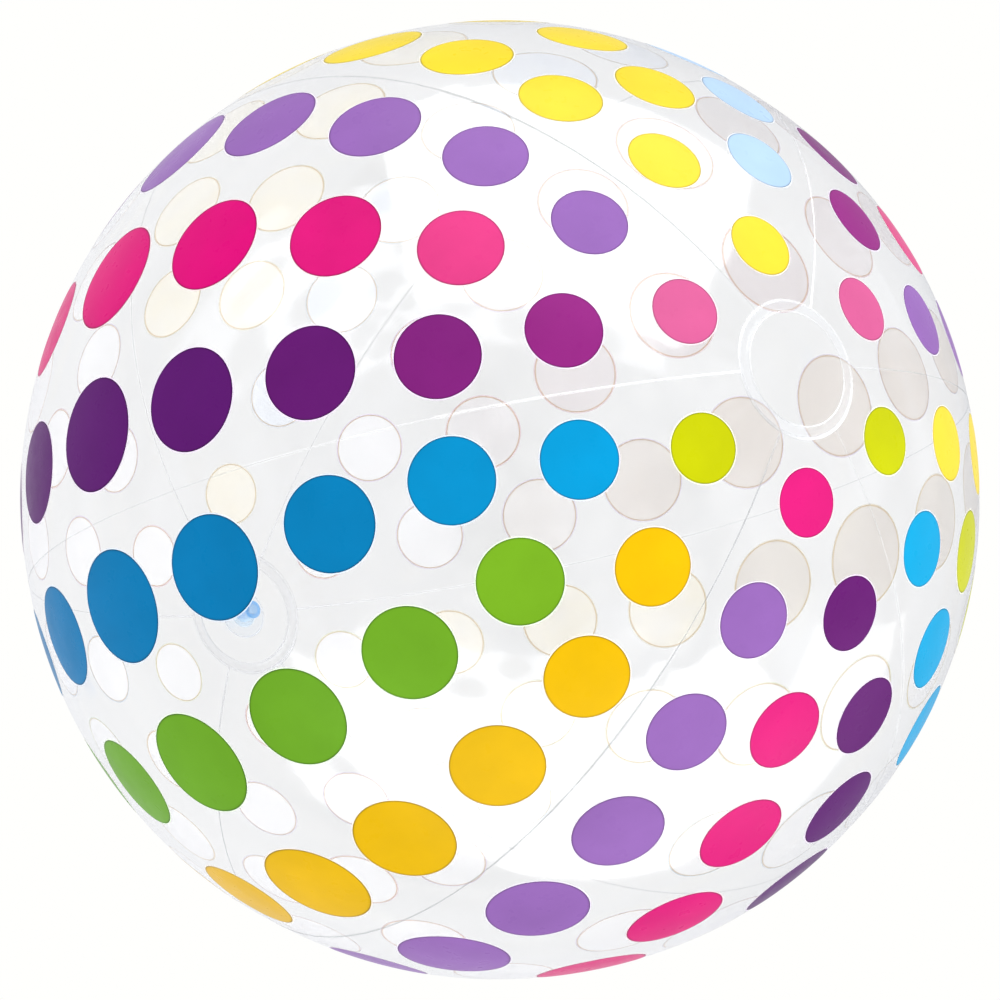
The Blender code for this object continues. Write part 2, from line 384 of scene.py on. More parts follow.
def clear_plastic(name, tint, haze):
    """Clear film: it lets light through, mirrors a little, and has a faint uneven milky haze.

    It is milkier where the attribute "pressed" is high, as a disc's film is between its two welds.
    """
    shader = Shader(name)
    normal = shader.bump(shader.noise(30.0), 0.00002)
    through = shader.transparent(tint)
    milk = shader.diffuse((0.93, 0.95, 0.97))
    milkiness = shader.spread(shader.noise(3.0, detail=5.0), haze * 0.5, haze * 1.5)
    pressed = shader.maths("MULTIPLY", shader.attribute("pressed"), PRESSED_MILK)
    body = shader.mixed(shader.maths("ADD", milkiness, pressed), through, milk)
    gloss = shader.node("ShaderNodeBsdfGlossy", Color=(1, 1, 1, 1), Roughness=0.09, Normal=normal).outputs[0]
    return shader.finish(shader.mixed(shader.mirror_share(0.036), body, gloss))


def weld_plastic(name, least, most):
    """Film pressed hot into a weld, a little milky: whiter where "white" is high, mostly as painted
    highlight, and greyer where "shade" is high, as painted shade.
    """
    shader = Shader(name)
    tint = shader.blend_colours(shader.attribute("shade"), (0.99, 0.99, 0.99), (0.74, 0.75, 0.76))
    through = shader.node("ShaderNodeBsdfTransparent", Color=tint).outputs[0]
    milk = shader.diffuse((0.97, 0.98, 1.0))
    grain = shader.spread(shader.noise(220.0), 0.75, 1.25)
    white = shader.maths("ADD", shader.maths("MULTIPLY", shader.attribute("white"), most - least), least)
    body = shader.mixed(shader.maths("MULTIPLY", white, grain), through, milk)
    normal = shader.bump(shader.noise(400.0), 0.00005)
    gloss = shader.node("ShaderNodeBsdfGlossy", Roughness=0.2, Normal=normal).outputs[0]
    return shader.finish(shader.mixed(shader.mirror_share(0.015, edge_on=0.1), body, gloss))


def ink(name, full, lightened):
    """Satin printed ink, lighter on some rows, deeper along the dot's edge, faintly mottled."""
    shader = Shader(name)
    strength = shader.blend_colours(shader.attribute("lightened"), full, lightened)
    mottle = shader.spread(shader.noise(14.0, detail=6.0), 0.93, 1.04)
    deepened = shader.maths("MULTIPLY", shader.attribute("edge"), -0.75)
    brightness = shader.maths("ADD", mottle, deepened)
    shade = shader.vector_maths("SCALE", "Vector", input_0=strength, Scale=brightness)
    surface = shader.principled(shade, 0.26, 0.34)
    surface.inputs["Specular IOR Level"].default_value = 0.05
    shader.put(surface, "Normal", shader.bump(shader.noise(900.0, detail=2.0), 0.000006))
    return shader.finish(surface.outputs[0])


def backing(name, colour, coat_colour, in_shade):
    """The white coat under the ink, seen from inside the ball, with a breath of the ink's colour and, on
    some dots, a warm painted shade in patches.
    """
    shader = Shader(name)
    lacking = 1 - np.array(colour) / max(colour)
    tinted, paler = (np.array(coat_colour) * (1 - share * lacking) for share in (0.19, 0.10))
    clouds = shader.spread(shader.noise(18.0, detail=6.0), 0.0, 1.0)
    coat = shader.blend_colours(clouds, tinted, paler)
    patchy = shader.spread(shader.noise(9.0, detail=5.0), 0.75, 1.15)
    # painted shade: where the dot's value is high, the coat turns to the shaded colour in patches
    shade_amount = shader.maths("MULTIPLY", shader.attribute("in_shade"), patchy)
    shade = shader.blend_colours(shade_amount, coat, in_shade)
    return shader.finish(shader.principled(shade, 0.3, 0.4).outputs[0])


def ink_outline(name, colour):
    """The thin rim of ink beyond its white coat, seen from inside the ball through the film."""
    shader = Shader(name)
    tan = np.array(OUTLINE_TAN)
    strong, faint = (tan + share * (colour - tan) for share in (0.15, 0.05))
    shade = shader.blend_colours(shader.spread(shader.noise(25.0), 0.0, 1.0), strong, faint)
    return shader.finish(shader.principled(shade, 0.3, 0.4, ior=1.5).outputs[0])


def varnish(name, colour):
    """The varnish that runs out past each dot's ink, with a little of the ink in it."""
    shader = Shader(name)
    stained = tuple(0.97 - 0.22 * (1 - c / max(colour)) for c in colour)
    through = shader.transparent((0.99, 0.99, 0.99))
    body = shader.mixed(shader.spread(shader.noise(40.0), 0.3, 0.6), through, shader.diffuse(stained))
    gloss = shader.node("ShaderNodeBsdfGlossy", Roughness=0.15).outputs[0]
    return shader.finish(shader.mixed(shader.mirror_share(0.04), body, gloss))


def soft_moulding(name, colour, clear_share):
    """Soft moulded plastic that some light passes, with a glossy skin and fine moulding grain."""
    shader = Shader(name)
    pale = tuple(min(1.0, 0.6 * c + 0.4) for c in colour)
    shade = shader.blend_colours(shader.spread(shader.noise(160.0, detail=4.0), 0.0, 0.5), colour, pale)
    surface = shader.principled(shade, 0.14, 0.26, grain=300.0, ior=1.5)
    shader.put(surface, "Normal", shader.bump(shader.noise(900.0), 0.00001))
    through = shader.transparent(pale)
    facing = shader.node("ShaderNodeLayerWeight", Blend=0.4).outputs["Facing"]
    open_share = shader.maths("MULTIPLY", shader.maths("SUBTRACT", 1.0, facing), clear_share)
    return shader.finish(shader.mixed(open_share, surface.outputs[0], through))


# --- The ball's film, seams and discs ---


def film_sheet(name, towards, lift, closed, material):
    """A closed sheet of film, its outer skin at a height over the panels' outer surface.

    towards is a grid of unit vectors, row by row.
    """
    rows, columns = towards.shape[:2]
    count = rows * columns
    flat = towards.reshape(-1, 3)
    lifts = np.broadcast_to(lift, (rows, columns)).reshape(-1)
    points = np.concatenate([on_film(flat, lifts), on_film(flat, lifts - FILM)])
    faces = [grid_faces(rows, columns, closed), grid_faces(rows, columns, closed, count, flip=True)]
    grid = np.arange(count).reshape(rows, columns)
    if closed:
        grid = np.hstack([grid, grid[:, :1]])
    rims = [grid[0], grid[-1]] + ([] if closed else [grid[:, 0], grid[:, -1]])
    for rim, flip in zip(rims, (True, False, False, True)):
        quads = np.stack([rim[:-1], rim[1:], rim[1:] + count, rim[:-1] + count], axis=1)
        faces.append(quads[:, ::-1] if flip else quads)
    thing = make_object(name, points, np.concatenate(faces), [material])
    tidy_normals(thing)
    return thing


def panel_turns():
    """Column angles across a panel, closer together near its two seams."""
    share = np.linspace(-1, 1, PANEL_COLUMNS)
    return HALF_PANEL * (0.45 * share + 0.55 * np.sin(share * math.pi / 2))


def make_panels(film):
    tip = TIP_RADIUS / RADIUS
    tilt = np.linspace(tip, math.pi - tip, PANEL_ROWS)[:, None]
    for number in range(1, PANELS + 1):
        middle = 2 * HALF_PANEL * (number - 1)
        towards = directions(tilt, middle + 0.9999 * panel_turns()[None, :])
        panel = film_sheet(f"film_panel_{number}", towards, 0.0, False, film)
        on_body(panel, "ball", "clear_film", f"panel_{number}")


# The round-topped cross-section of a weld, as shares of its half width and of its height
WELD_ACROSS = np.cos(np.linspace(0, math.pi, WELD_STEPS))
WELD_UP = np.sin(np.linspace(0, math.pi, WELD_STEPS))


def weld_object(name, points, faces, white, shade, material):
    """A weld from points in rows of WELD_STEPS, with how white and how grey it is at each row."""
    thing = make_object(name, points, faces, [material])
    tidy_normals(thing)
    point_values(thing, "white", np.repeat(white, WELD_STEPS))
    point_values(thing, "shade", np.repeat(shade, WELD_STEPS))
    return thing


def bead(name, centre_lines, sideways, half_width, white, shade, material):
    """A weld bead on the film, along unit vectors, with its cross-section in the sideways directions."""
    reach = WELD_ACROSS[None, :, None] * half_width[:, None, None] / RADIUS
    towards = centre_lines[:, None, :] + sideways[:, None, :] * reach
    towards /= np.linalg.norm(towards, axis=2, keepdims=True)
    rows = len(centre_lines)
    points = on_film(towards.reshape(-1, 3), np.tile(WELD_FOOT + WELD_UP * WELD_HEIGHT, rows))
    last = (rows - 1) * WELD_STEPS
    ends = [list(range(WELD_STEPS)), [last + i for i in reversed(range(WELD_STEPS))]]
    faces = grid_faces(rows, WELD_STEPS, True).tolist() + ends
    return weld_object(name, points, faces, white, shade, material)


def make_seams(weld):
    """A weld bead down each seam, wider by the discs. Seam n is on panel n's side going round +Z."""
    end = (DISC_RADIUS + SEAM_GAP) / RADIUS
    tilt = np.linspace(end, math.pi - end, SEAM_ROWS)
    from_disc = RADIUS * (np.minimum(tilt, math.pi - tilt) - end)
    near_disc = np.exp(-from_disc / WIDE_LENGTH)
    half_width = (WELD_WIDTH + (WELD_WIDTH_AT_DISC - WELD_WIDTH) * near_disc) / 2
    for number in range(1, PANELS + 1):
        turn = 2 * HALF_PANEL * (number - 1) + HALF_PANEL
        lines = directions(tilt, np.full(SEAM_ROWS, turn))
        sideways = np.tile([-math.sin(turn), math.cos(turn), 0], (SEAM_ROWS, 1))
        # painted highlight on some seams by the plain disc; every seam is also a little whiter by the
        # valve's disc
        white_and_highlight = WELD_HIGHLIGHT[number - 1] * np.exp(-RADIUS * (tilt - end) / HIGHLIGHT_LENGTH)
        white_and_highlight += VALVE_END_WHITENING * np.exp(-RADIUS * (math.pi - end - tilt) / VALVE_END_LENGTH)
        # painted shade along each seam, faded out by the discs
        shade = WELD_SHADE[number - 1] * (1 - 0.8 * np.exp(-from_disc / UNSHADED_LENGTH))
        seam = bead(f"seam_weld_{number}", lines, sideways, half_width, white_and_highlight, shade, weld)
        on_body(seam, "ball", "clear_film")


def make_ring(name, pole, radius, width, height, lift, white, grey, weld):
    """A round weld about a pole, on the disc's film: white and grey say how white and how grey it is at its
    most, as painted highlight on one side and painted shade on another.
    """
    turn = round_turns()
    tilt = (radius + WELD_ACROSS * width / 2) / RADIUS
    points = directions(tilt[None, :], turn[:, None]) * (RADIUS + lift + WELD_UP * height)[None, :, None]
    points[..., 2] *= pole
    last = (RING_STEPS - 1) * WELD_STEPS
    column = np.arange(WELD_STEPS)
    following = (column + 1) % WELD_STEPS
    joint = np.stack([last + column, last + following, following, column], axis=1)
    faces = np.concatenate([grid_faces(RING_STEPS, WELD_STEPS, True), joint])
    # painted highlight, whitest on one side with a fainter arc opposite, and painted shade on a third side
    towards_highlight = np.cos(turn - RING_HIGHLIGHT_SIDE)
    uneven = 0.22 + 0.78 * np.clip(towards_highlight, 0, 1) ** 3 + 0.3 * np.clip(-towards_highlight, 0, 1) ** 2
    ring_painted_shade = 0.03 + grey * np.clip(np.cos(turn - RING_SHADE_SIDE), 0, 1) ** 3
    ring = weld_object(name, points.reshape(-1, 3), faces, white * uneven, ring_painted_shade, weld)
    on_body(ring, "ball", "disc_film")


# Round welds: name, pole, radius, width, height, lift over the panels' film, and how white and grey at most,
# as painted highlight and painted shade
ROUND_WELDS = (
    ("outer_weld_plain", 1, DISC_RADIUS, 0.0040, 0.0004, 0.0, 0.5, 0.45),
    ("inner_weld_plain", 1, TIP_RADIUS, 0.0017, 0.0003, 2.1 * FILM, 0.5, 0.45),
    ("outer_weld_valve", -1, DISC_RADIUS, 0.0040, 0.0004, 0.0, 0.3, 0.03),
    ("inner_weld_valve", -1, TIP_RADIUS, 0.0017, 0.0003, 2.1 * FILM, 0.3, 0.03),
    ("patch_weld", -1, PATCH_RADIUS - 0.001, 0.0016, 0.0003, PATCH_TOP + FILM, 1.0, 0.0),
    ("flange_weld", -1, FLANGE_RADIUS - 0.0012, 0.001, 0.0002, PATCH_TOP + FILM, 0.6, 0.0),
)


def eased_step(radii, at, width):
    """0 under a radius and 1 over it, eased over a width. A negative width turns it round."""
    return 1 / (1 + np.exp(-(radii - at) / width))


def disc_lifts(radii, over_patch):
    """Heights of an end disc's outer skin over the panels' film: raised over their tips and over a patch."""
    over_tips = eased_step(radii, TIP_RADIUS, 0.0015)
    at_rim = eased_step(radii, DISC_RADIUS - 0.0012, 0.0004)
    raised = over_patch * eased_step(radii, PATCH_RADIUS + 0.002, -0.0006)
    return FILM * (1.15 + over_tips - 0.8 * at_rim) + raised


def make_disc(name, pole, inner_radius, cad_node, film):
    """A round end film, from inner_radius or from the pole out to its weld."""
    radii = np.concatenate([
        np.linspace(max(inner_radius, 0.0004), TIP_RADIUS - 0.004, 24),
        np.linspace(TIP_RADIUS - 0.0035, DISC_RADIUS, 24),
    ])
    over_patch = PATCH_TOP + 0.65 * FILM if inner_radius > 0 else 0.0
    thing = film_sheet(name, round_pole(radii, pole), disc_lifts(radii, over_patch)[:, None], True, film)
    pressed = np.where((radii > TIP_RADIUS) & (pole > 0), 1.0, 0.0)  # the valve's disc is clear all over
    point_values(thing, "pressed", np.tile(np.repeat(pressed, RING_STEPS), 2))
    return on_body(thing, "ball", "disc_film", cad_node)


# --- The printed dots ---

INK_BOTTOM = 0.00004
INK_TOP = 0.00018
VARNISH_TOP = 0.00010
COAT_SHARE = 0.97  # the white coat reaches out to this share of the ink's radius
INNER_RINGS = np.linspace(0.1, 0.9, 9)  # as shares of the ink's radius
DOT_RINGS = (*INNER_RINGS, 0.94, COAT_SHARE, 0.985)
EDGE_FROM = 0.965  # the ink deepens from this share of its radius out to its edge
INK_FACE, COAT_FACE, OUTLINE_FACE, VARNISH_FACE = range(4)
COAT_WHITE = (0.97, 0.967, 0.952)
# The warm grey painted shade on a coat, over most inks and over these ones
COAT_IN_PAINTED_SHADE = (0.835, 0.785, 0.715)
COATS_IN_PAINTED_SHADE = {"lavender": (0.86, 0.80, 0.73), "magenta": (0.855, 0.80, 0.785), "purple": (0.83, 0.80, 0.78)}
TINTED_COATS = ("yellow", "pale_blue")  # the ink shows through these


def dot_rows():
    """(tilt, count) of every row of dots from pole to pole, with the tilt in radians."""
    rows = [(math.radians(tilt), count) for tilt, count in zip(ROW_TILTS, ROW_COUNTS)]
    return rows + [(math.pi - tilt, count) for tilt, count in reversed(rows[:-1])]


def fading(value, first, second):
    """1 up to the first angle in degrees, falling evenly to 0 at the second."""
    return min(1.0, max(0.0, (second - math.degrees(value)) / (second - first)))


def panel_dots(number):
    """(colour, direction, angular radius, how much lighter the ink is, how much painted shade its coat has)
    of a panel's dots.
    """
    middle = 2 * HALF_PANEL * (number - 1)
    far_side, centre, near_side, tips = PANEL_COLOURS[number - 1]
    colours = {1: (tips,), 2: (near_side, far_side), 3: (near_side, centre, far_side)}
    shaded_colours, *shade_ends = SHADED_COAT_PANELS.get(number, ((), 0.0, 1.0))
    sideways = np.array([-math.sin(middle), math.cos(middle), 0.0])
    for even_tilt, count in dot_rows():
        slip_away, slip_aside = np.radians(PRINT_SLIP[number - 1]) * fading(even_tilt, *SLIPPED_ROWS)
        creep, more_creep = np.radians(PRINT_CREEP[number - 1]) * (1 - fading(even_tilt, *SLIPPED_ROWS))
        tilt = even_tilt + slip_away
        from_pole = min(tilt, math.pi - tilt)
        radius = math.radians(DOT_AT_POLE + DOT_GROWTH * from_pole / (math.pi / 2))
        lightened = LIGHTENED_PANELS[number - 1] * fading(tilt, *LIGHTENED_ROWS)
        # painted shade on the coats of these rows, fading out between the given angles
        shade_amount = fading(tilt, *shade_ends)
        for i in range(count):
            share = (2 * i - count + 1) / count
            aside = share * HALF_PANEL * math.sin(tilt) + slip_aside
            on_middle = directions(np.array(tilt - creep - more_creep * share), np.array(middle))
            towards = math.cos(aside) * on_middle + math.sin(aside) * sideways
            colour = colours[count][i]
            in_shade = shade_amount if colour in shaded_colours else 0.0
            yield colour, towards, radius, lightened, in_shade


def dot_profile(radius):
    """The rings of one dot from the middle of its top, over its edge, to the middle of its underside.

    Each is (angle from the dot's middle, height, nearness to the ink's edge, face kind of the band beyond).
    """
    brim = radius + HALO / RADIUS
    rings = []
    for share in DOT_RINGS:
        near_edge = max(0.0, (share - EDGE_FROM) / (1 - EDGE_FROM))
        rings.append((share * radius, INK_TOP, near_edge, INK_FACE))
    rings += [
        (radius, 0.5 * (INK_TOP + VARNISH_TOP), 1.0, VARNISH_FACE),
        (0.5 * (radius + brim), VARNISH_TOP, 1.0, VARNISH_FACE),
        (brim, 0.5 * VARNISH_TOP, 1.0, VARNISH_FACE),
        (brim, INK_BOTTOM, 1.0, VARNISH_FACE),
        (radius, INK_BOTTOM, 1.0, OUTLINE_FACE),
        (COAT_SHARE * radius, INK_BOTTOM, 0.5, COAT_FACE),
    ]
    return rings + [(share * radius, INK_BOTTOM, 0.0, COAT_FACE) for share in reversed(INNER_RINGS)]


def dot_mesh(towards, radius):
    """Points, faces, the faces' kinds and the points' nearness to the edge, for one dot."""
    aside = np.cross(towards, [0, 0, 1])
    aside /= np.linalg.norm(aside)
    beyond = np.cross(towards, aside)
    turn = round_turns(DOT_STEPS)
    round_it = np.cos(turn)[:, None] * aside + np.sin(turn)[:, None] * beyond
    reach, height, near_edge, kind = map(np.array, zip(*dot_profile(radius)))
    rings = np.cos(reach)[:, None, None] * towards + np.sin(reach)[:, None, None] * round_it
    spokes = np.concatenate([[towards], rings.reshape(-1, 3), [towards]])
    points = on_film(spokes, np.array([INK_TOP, *np.repeat(height, DOT_STEPS), INK_BOTTOM]))
    edge = [0.0, *np.repeat(near_edge, DOT_STEPS), 0.0]
    kinds = np.repeat([INK_FACE, *kind], DOT_STEPS).tolist()
    bands = grid_faces(len(reach), DOT_STEPS, True, 1).tolist()
    last = 1 + (len(reach) - 1) * DOT_STEPS
    bottom = last + DOT_STEPS
    steps = range(DOT_STEPS)
    top_cap = [[0, 1 + (i + 1) % DOT_STEPS, 1 + i] for i in steps]
    bottom_cap = [[bottom, last + i, last + (i + 1) % DOT_STEPS] for i in steps]
    return points, top_cap + bands + bottom_cap, kinds, edge


def dot_materials():
    """The materials of each colour's dots, in the order of the face kinds."""
    finishes = {}
    for colour, (full, lightened) in INK.items():
        hue = full if colour in TINTED_COATS else (1.0, 1.0, 1.0)
        coat = backing(f"coat_{colour}", hue, COAT_WHITE, COATS_IN_PAINTED_SHADE.get(colour, COAT_IN_PAINTED_SHADE))
        outline = ink_outline(f"outline_{colour}", full)
        rim = varnish(f"varnish_{colour}", full)
        finishes[colour] = [ink(f"ink_{colour}", full, lightened), coat, outline, rim]
    return finishes


def make_dot_group(name, dots, materials):
    """One piece from dots of one colour, each (direction, angular radius, how much lighter, how much painted
    shade).
    """
    points, faces, kinds = [], [], []
    values = {"edge": [], "lightened": [], "in_shade": []}
    for towards, radius, lightened, in_shade in dots:
        dot_points, dot_faces, dot_kinds, dot_edge = dot_mesh(towards, radius)
        start = sum(len(part) for part in points)
        points.append(dot_points)
        faces += [[start + k for k in face] for face in dot_faces]
        kinds += dot_kinds
        values["edge"] += dot_edge
        values["lightened"] += [lightened] * len(dot_points)
        values["in_shade"] += [in_shade] * len(dot_points)
    thing = make_object(name, np.concatenate(points), faces, materials, kinds)
    tidy_normals(thing)
    for value, numbers in values.items():
        point_values(thing, value, numbers)
    return thing


def make_dots():
    """All the dots of one colour on one panel are one piece: ink outside, with its white coat under it."""
    finishes = dot_materials()
    for number in range(1, PANELS + 1):
        groups = {}
        for colour, *dot in panel_dots(number):
            groups.setdefault(colour, []).append(dot)
        for colour, dots in groups.items():
            thing = make_dot_group(f"dots_panel_{number}_{colour}", dots, finishes[colour])
            on_body(thing, "ball", f"print_{colour}")


# --- The valve ---

# The valve's own frame sits on the panels' outer surface at the bottom pole, with Z out of the ball
SEAT = Matrix.Translation((0, 0, -RADIUS)) @ Matrix.Rotation(math.pi, 4, "X")
BORE_RADIUS = 0.0045
STEM_RADIUS = 0.007
COLLAR_THICKNESS = 0.0017
GRIP_RIBS = 3
GRIP_HEIGHT = 0.0005
GRIP_START = 0.0085  # the first grip rib's distance from the stem's mouth
GRIP_PITCH = 0.0032
FLANGE_HOLE = 0.0112
FLANGE_BEAD = 0.0005  # height of the bead round the flange
BELLOWS_RIBS = 5
BELLOWS_DEPTH = 0.0002
BELLOWS_WALL = 0.0005
BELLOWS_ROWS = 60
PLUG_RADIUS = 0.0072
DISH_DEPTH = 0.0003  # the hollow in the plug's top
SHANK_LENGTH = 0.009
SHANK_TAPER = 0.0006
TAB_WIDTH = 0.005
TAB_THICKNESS = 0.001
TAB_NOSE = 0.0012  # depth of the tab's round end
TAB_RIBS = 2
TAB_RIB_WIDTH = 0.00044
TAB_RIB_LENGTH = 0.0032
STRAP_INSIDE = 0.0075
STRAP_THICKNESS = 0.0008
STRAP_WIDTH = 0.002
STRAP_TURNS = (math.radians(180), math.radians(330))  # from the plug to the stem
STRAP_ENDS = 0.07  # the share of its length over which each end thickens
STRAP_STEPS = 56
FLAP_RADIUS = 0.0062
FLAP_HINGE = 0.0075
FLAP_TONGUE = 0.005
LUG_REACH = (0.0006, 0.0025)  # where the flap's lug lies beyond its hinge
VALVE_STEPS = 96


def heights(node):
    """Lowest and highest height of a CAD valve piece in the valve's own frame."""
    low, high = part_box(node)
    return -high.z - RADIUS, -low.z - RADIUS


def rounded(corners, radius, steps=4):
    """A closed outline whose corners, but for those on the axis, are eased by a small radius."""
    corners = [Vector(corner) for corner in corners]
    outline = []
    for before, corner, after in zip(corners[-1:] + corners[:-1], corners, corners[1:] + corners[:1]):
        if corner.x == 0:
            outline.append(corner)
            continue
        back, ahead = before - corner, after - corner
        reach = min(radius, 0.45 * back.length, 0.45 * ahead.length)
        start = corner + back.normalized() * reach
        end = corner + ahead.normalized() * reach
        for i in range(steps + 1):
            share = i / steps
            outline.append(start * (1 - share) ** 2 + corner * 2 * share * (1 - share) + end * share**2)
    return outline


def valve_object(name, points, faces, material):
    """An object made in the valve's own frame, moved to its place, with flat faces kept flat."""
    thing = make_object(name, points, faces, [material])
    tidy_normals(thing)
    thing.data.set_sharp_from_angle(angle=math.radians(32))
    thing.data.transform(SEAT)
    return thing


def turned(name, outline, material):
    """A piece turned about the valve's axis from a closed outline of (radius, height) points."""
    points, rings = [], []
    for radius, height in outline:
        count = VALVE_STEPS if radius > 0 else 1
        rings.append([len(points) + i for i in range(count)])
        for i in range(count):
            turn = 2 * math.pi * i / VALVE_STEPS
            points.append((radius * math.cos(turn), radius * math.sin(turn), height))
    faces = []
    for ring, following in zip(rings, rings[1:] + rings[:1]):
        if len(ring) == 1 and len(following) == 1:
            continue
        for i in range(VALVE_STEPS):
            j = (i + 1) % VALVE_STEPS
            corners = [ring[i % len(ring)], ring[j % len(ring)]]
            corners += [following[j % len(following)], following[i % len(following)]]
            faces.append(list(dict.fromkeys(corners)))
    return valve_object(name, points, faces, material)


def extruded(name, outline, bottom, top, material, ease=0.0002):
    """A flat piece from an outline of (x, y) points, with its edges eased."""
    count = len(outline)
    points = [(x, y, bottom) for x, y in outline] + [(x, y, top) for x, y in outline]
    faces = [list(range(count)), list(range(count, 2 * count))]
    faces += [[i, (i + 1) % count, (i + 1) % count + count, i + count] for i in range(count)]
    thing = valve_object(name, points, faces, material)
    soften = thing.modifiers.new("eased_edges", "BEVEL")
    soften.width = ease
    soften.segments = 3
    soften.angle_limit = math.radians(40)
    return thing


def oblong(near, far, width):
    """The outline of a rectangle that lies along X."""
    half = width / 2
    return [(near, -half), (far, -half), (far, half), (near, half)]


def settle(thing):
    """Applies a piece's modifiers, so that its mesh is final."""
    evaluated = thing.evaluated_get(bpy.context.evaluated_depsgraph_get())
    thing.data = bpy.data.meshes.new_from_object(evaluated)
    thing.modifiers.clear()


def united(first, second):
    """Joins the second closed piece into the first as one solid."""
    settle(first)
    settle(second)
    join = first.modifiers.new("join", "BOOLEAN")
    join.operation = "UNION"
    join.object = second
    settle(first)
    bpy.data.objects.remove(second)
    first.data.set_sharp_from_angle(angle=math.radians(32))


def make_patch(film):
    """The clear ring under the valve's disc."""
    radii = np.linspace(VALVE_HOLE, PATCH_RADIUS, 18)
    patch = film_sheet("patch_ring", round_pole(radii, -1), PATCH_TOP, True, film)
    on_body(patch, "ball", "patch_film", "valve_patch")


def make_flange(moulding):
    """The ring welded to the patch, with a raised bead on its inner face and an eased rim."""
    bottom, top = heights("valve_flange")
    bead_at = FLANGE_RADIUS - 0.0016
    corners = [
        (FLANGE_HOLE, top),
        (FLANGE_RADIUS, top),
        (FLANGE_RADIUS, bottom + 0.0004),
        (bead_at + 0.0008, bottom),
        (bead_at + 0.0004, bottom - FLANGE_BEAD),
        (bead_at - 0.0004, bottom - FLANGE_BEAD),
        (bead_at - 0.0008, bottom),
        (FLANGE_HOLE, bottom),
    ]
    flange = turned("flange_ring", rounded(corners, 0.00025), moulding)
    on_body(flange, "ball", "clear_moulding", "valve_flange")


def make_web(moulding):
    """The thin sleeve between flange and stem, ribbed like bellows."""
    foot, top = heights("valve_web")
    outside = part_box("valve_web")[1].x
    outer, inner = [], []
    for i in range(BELLOWS_ROWS + 1):
        share = i / BELLOWS_ROWS
        height = top + (foot - top) * share
        wave = BELLOWS_DEPTH * (1 - math.cos(2 * math.pi * BELLOWS_RIBS * share)) / 2
        outer.append((outside - wave, height))
        inner.append((outside - wave - BELLOWS_WALL, height))
    thing = turned("bellows_sleeve", outer + inner[::-1], moulding)
    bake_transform(thing)
    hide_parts("valve_web")


def make_stem(moulding):
    """The tube with its collar and three grip ribs."""
    foot, top = heights("valve_stem")
    collar = foot + COLLAR_THICKNESS
    collar_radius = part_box("valve_stem")[1].x
    corners = [(BORE_RADIUS, top), (STEM_RADIUS, top)]
    for rib in range(GRIP_RIBS):
        middle = top - GRIP_START - GRIP_PITCH * rib
        corners += [(STEM_RADIUS, middle + 0.0005), (STEM_RADIUS + GRIP_HEIGHT, middle + 0.0002)]
        corners += [(STEM_RADIUS + GRIP_HEIGHT, middle - 0.0002), (STEM_RADIUS, middle - 0.0005)]
    corners += [
        (STEM_RADIUS, collar + 0.0006),
        (STEM_RADIUS + 0.0006, collar),
        (collar_radius, collar),
        (collar_radius, foot),
        (BORE_RADIUS, foot),
    ]
    stem = turned("stem_tube", rounded(corners, 0.0003), moulding)
    on_body(stem, "valve", "blue_moulding", "valve_stem")


def plug_body(moulding, end, head):
    """The stopper, dished on top, with a tapered shank that has a ring round its root."""
    root = end + SHANK_LENGTH
    shank = BORE_RADIUS - FILM
    corners = [
        (0, head - DISH_DEPTH),
        (0.0042, head - DISH_DEPTH),
        (0.0048, head),
        (PLUG_RADIUS, head),
        (PLUG_RADIUS, root),
        (shank, root),
        (shank, root - 0.0022),
        (shank - 0.0002, root - 0.0026),
        (shank - SHANK_TAPER, end + 0.0006),
        (shank - SHANK_TAPER - 0.0006, end),
        (0, end),
    ]
    return turned("plug_stopper", rounded(corners, 0.0003), moulding)


def plug_tab(moulding, head):
    """The round-nosed tab to lift the plug by."""
    half = TAB_WIDTH / 2
    root = PLUG_RADIUS - TAB_NOSE
    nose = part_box("valve_plug")[1].x - TAB_NOSE
    turns = np.linspace(0.15, math.pi - 0.15, 13)
    rounding = [(nose + TAB_NOSE * math.sin(turn), -half * math.cos(turn)) for turn in turns]
    outline = [(root, -half), (nose, -half), *rounding, (nose, half), (root, half)]
    return extruded("tab", outline, head - TAB_THICKNESS, head - FILM, moulding)


def tab_rib(moulding, head, number):
    """One of the ribs across the tab that a fingernail catches on."""
    middle = PLUG_RADIUS + 0.0007 + 0.0009 * number
    outline = oblong(middle - TAB_RIB_WIDTH / 2, middle + TAB_RIB_WIDTH / 2, TAB_RIB_LENGTH)
    return extruded("rib", outline, head - 0.0006, head - 0.00008, moulding, ease=0.00008)


def make_plug(moulding):
    """The stopper with its ribbed tab, as one solid."""
    end, head = heights("valve_plug")
    plug = plug_body(moulding, end, head)
    united(plug, plug_tab(moulding, head))
    for number in range(TAB_RIBS):
        united(plug, tab_rib(moulding, head, number))
    on_body(plug, "plug", "blue_moulding", "valve_plug")


